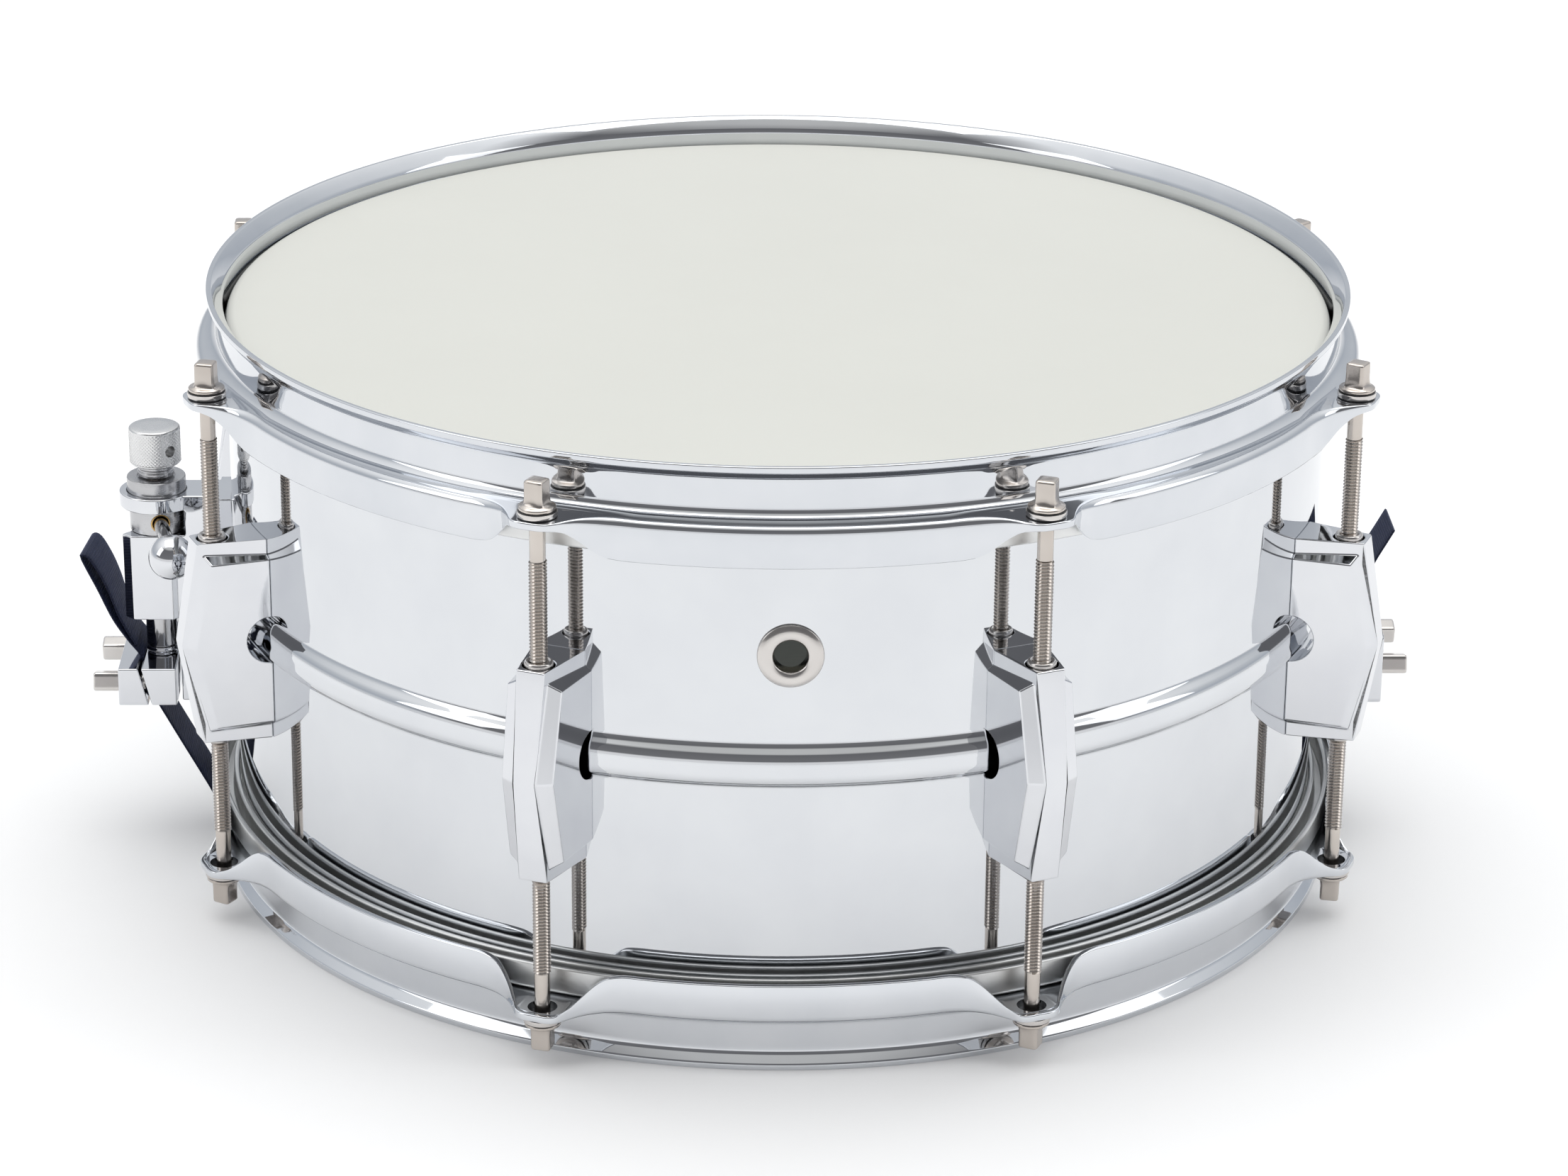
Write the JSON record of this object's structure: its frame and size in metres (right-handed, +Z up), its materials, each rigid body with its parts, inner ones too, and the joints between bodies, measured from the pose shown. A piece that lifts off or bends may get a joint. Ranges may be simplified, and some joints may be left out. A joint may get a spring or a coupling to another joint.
{
  "type": "snare drum",
  "caption": "Metal-shell snare drum with double-ended lugs, pressed hoops, coated batter head, ribbon-strapped snare wires and a swivel-lever throw-off with a tension knob.",
  "frame": {"origin": "on the drum's axis, in the plane of the bottom rim that the drum stands on", "axes": "+Z up along the drum's axis; -Y is the front with the air vent; the throw-off is at -X and the butt at +X"},
  "size_m": [0.4352, 0.3806, 0.1936],
  "materials": {
    "chrome_shell": "mirror chrome plate",
    "chrome_hoop": "mirror chrome plate on pressed steel",
    "chrome_cast": "chrome plate on die-cast zinc",
    "chrome_satin": "turned steel with a dull plate",
    "nickel": "warm nickel plate",
    "knurled_nickel": "diamond-knurled matt nickel",
    "brass": "bare brass",
    "aluminium": "extruded aluminium",
    "coated_film": "sprayed rough white coating",
    "clear_film": "thin hazy film",
    "black_nylon": "moulded nylon",
    "ribbon": "navy ribbed ribbon",
    "wire_steel": "coiled steel wire",
    "brass_plate": "plain brass sheet"
  },
  "bodies": {
    "drum": {"shell": "chrome_shell", "air_vent": "nickel", "batter_head": "coated_film", "snare_side_head": "clear_film", "batter_flesh_hoop": "aluminium", "snare_side_flesh_hoop": "aluminium", "top_hoop": "chrome_hoop", "bottom_hoop": "chrome_hoop", "lug_swivel_nuts": "nickel", "lug_nut_spacers": "black_nylon", "lug_screws": "nickel", "lug_screw_washers": "nickel", "rod_washers": "nickel", "rod_nylon_washers": "black_nylon", "throw_off_base": "chrome_cast", "throw_off_strap": "ribbon", "butt_base": "chrome_cast", "butt_plate": "chrome_cast", "butt_clamp_screws": "nickel", "butt_strap": "ribbon", "fitting_screws": "nickel", "fitting_washers": "nickel", "snare_wires": "wire_steel", "snare_end_plates": "brass_plate", "lug_1": "chrome_cast", "lug_2": "chrome_cast", "lug_3": "chrome_cast", "lug_4": "chrome_cast", "lug_5": "chrome_cast", "lug_6": "chrome_cast", "lug_7": "chrome_cast", "lug_8": "chrome_cast"},
    "lever": {"lever_sleeve": "chrome_satin", "lever_bush": "brass", "lever_rod": "chrome_satin", "lever_ball": "chrome_cast"},
    "plunger": {"plunger": "chrome_satin"},
    "knob": {"tension_knob": "knurled_nickel", "adjuster_screw": "nickel"},
    "carriage": {"inner_jaw": "chrome_cast", "outer_jaw": "chrome_cast", "jaw_screws": "nickel", "throw_off_strap_tail": "ribbon"},
    "top_rod_1": {"top_rod_1": "nickel"},
    "bottom_rod_1": {"bottom_rod_1": "nickel"},
    "top_rod_2": {"top_rod_2": "nickel"},
    "bottom_rod_2": {"bottom_rod_2": "nickel"},
    "top_rod_3": {"top_rod_3": "nickel"},
    "bottom_rod_3": {"bottom_rod_3": "nickel"},
    "top_rod_4": {"top_rod_4": "nickel"},
    "bottom_rod_4": {"bottom_rod_4": "nickel"},
    "top_rod_5": {"top_rod_5": "nickel"},
    "bottom_rod_5": {"bottom_rod_5": "nickel"},
    "top_rod_6": {"top_rod_6": "nickel"},
    "bottom_rod_6": {"bottom_rod_6": "nickel"},
    "top_rod_7": {"top_rod_7": "nickel"},
    "bottom_rod_7": {"bottom_rod_7": "nickel"},
    "top_rod_8": {"top_rod_8": "nickel"},
    "bottom_rod_8": {"bottom_rod_8": "nickel"}
  },
  "joints": [
    {"name": "throw_lever", "type": "hinge", "parent": "drum", "child": "lever", "pos_m": [-0.2026, 0, 0.0968], "axis": [0, 0, 1], "range_deg": [-110, 0]},
    {"name": "plunger_drop", "type": "slide", "parent": "drum", "child": "plunger", "axis": [0, 0, 1], "range_m": [-0.004, 0], "deforming": ["throw_off_strap"]},
    {"name": "knob_turn", "type": "hinge", "parent": "plunger", "child": "knob", "pos_m": [-0.2026, 0, 0.0968], "axis": [0, 0, 1], "range_deg": [0, 2160]},
    {"name": "jaw_travel", "type": "slide", "parent": "plunger", "child": "carriage", "axis": [0, 0, 1], "range_m": [-0.006, 0], "deforming": ["throw_off_strap"]},
    {"name": "top_rod_1_turn", "type": "hinge", "parent": "drum", "child": "top_rod_1", "pos_m": [0.07367, -0.17785, 0.1418], "axis": [0, 0, 1], "continuous": true},
    {"name": "bottom_rod_1_turn", "type": "hinge", "parent": "drum", "child": "bottom_rod_1", "pos_m": [0.07367, -0.17785, 0.0518], "axis": [0, 0, 1], "continuous": true},
    {"name": "top_rod_2_turn", "type": "hinge", "parent": "drum", "child": "top_rod_2", "pos_m": [0.17785, -0.07367, 0.1418], "axis": [0, 0, 1], "continuous": true},
    {"name": "bottom_rod_2_turn", "type": "hinge", "parent": "drum", "child": "bottom_rod_2", "pos_m": [0.17785, -0.07367, 0.0518], "axis": [0, 0, 1], "continuous": true},
    {"name": "top_rod_3_turn", "type": "hinge", "parent": "drum", "child": "top_rod_3", "pos_m": [0.17785, 0.07367, 0.1418], "axis": [0, 0, 1], "continuous": true},
    {"name": "bottom_rod_3_turn", "type": "hinge", "parent": "drum", "child": "bottom_rod_3", "pos_m": [0.17785, 0.07367, 0.0518], "axis": [0, 0, 1], "continuous": true},
    {"name": "top_rod_4_turn", "type": "hinge", "parent": "drum", "child": "top_rod_4", "pos_m": [0.07367, 0.17785, 0.1418], "axis": [0, 0, 1], "continuous": true},
    {"name": "bottom_rod_4_turn", "type": "hinge", "parent": "drum", "child": "bottom_rod_4", "pos_m": [0.07367, 0.17785, 0.0518], "axis": [0, 0, 1], "continuous": true},
    {"name": "top_rod_5_turn", "type": "hinge", "parent": "drum", "child": "top_rod_5", "pos_m": [-0.07367, 0.17785, 0.1418], "axis": [0, 0, 1], "continuous": true},
    {"name": "bottom_rod_5_turn", "type": "hinge", "parent": "drum", "child": "bottom_rod_5", "pos_m": [-0.07367, 0.17785, 0.0518], "axis": [0, 0, 1], "continuous": true},
    {"name": "top_rod_6_turn", "type": "hinge", "parent": "drum", "child": "top_rod_6", "pos_m": [-0.17785, 0.07367, 0.1418], "axis": [0, 0, 1], "continuous": true},
    {"name": "bottom_rod_6_turn", "type": "hinge", "parent": "drum", "child": "bottom_rod_6", "pos_m": [-0.17785, 0.07367, 0.0518], "axis": [0, 0, 1], "continuous": true},
    {"name": "top_rod_7_turn", "type": "hinge", "parent": "drum", "child": "top_rod_7", "pos_m": [-0.17785, -0.07367, 0.1418], "axis": [0, 0, 1], "continuous": true},
    {"name": "bottom_rod_7_turn", "type": "hinge", "parent": "drum", "child": "bottom_rod_7", "pos_m": [-0.17785, -0.07367, 0.0518], "axis": [0, 0, 1], "continuous": true},
    {"name": "top_rod_8_turn", "type": "hinge", "parent": "drum", "child": "top_rod_8", "pos_m": [-0.07367, -0.17785, 0.1418], "axis": [0, 0, 1], "continuous": true},
    {"name": "bottom_rod_8_turn", "type": "hinge", "parent": "drum", "child": "bottom_rod_8", "pos_m": [-0.07367, -0.17785, 0.0518], "axis": [0, 0, 1], "continuous": true}
  ],
  "couplings": [
    {"joint": "throw_lever", "follows": "plunger_drop", "rad_per_m": 479.97},
    {"joint": "knob_turn", "follows": "jaw_travel", "rad_per_m": -6283.2}
  ]
}
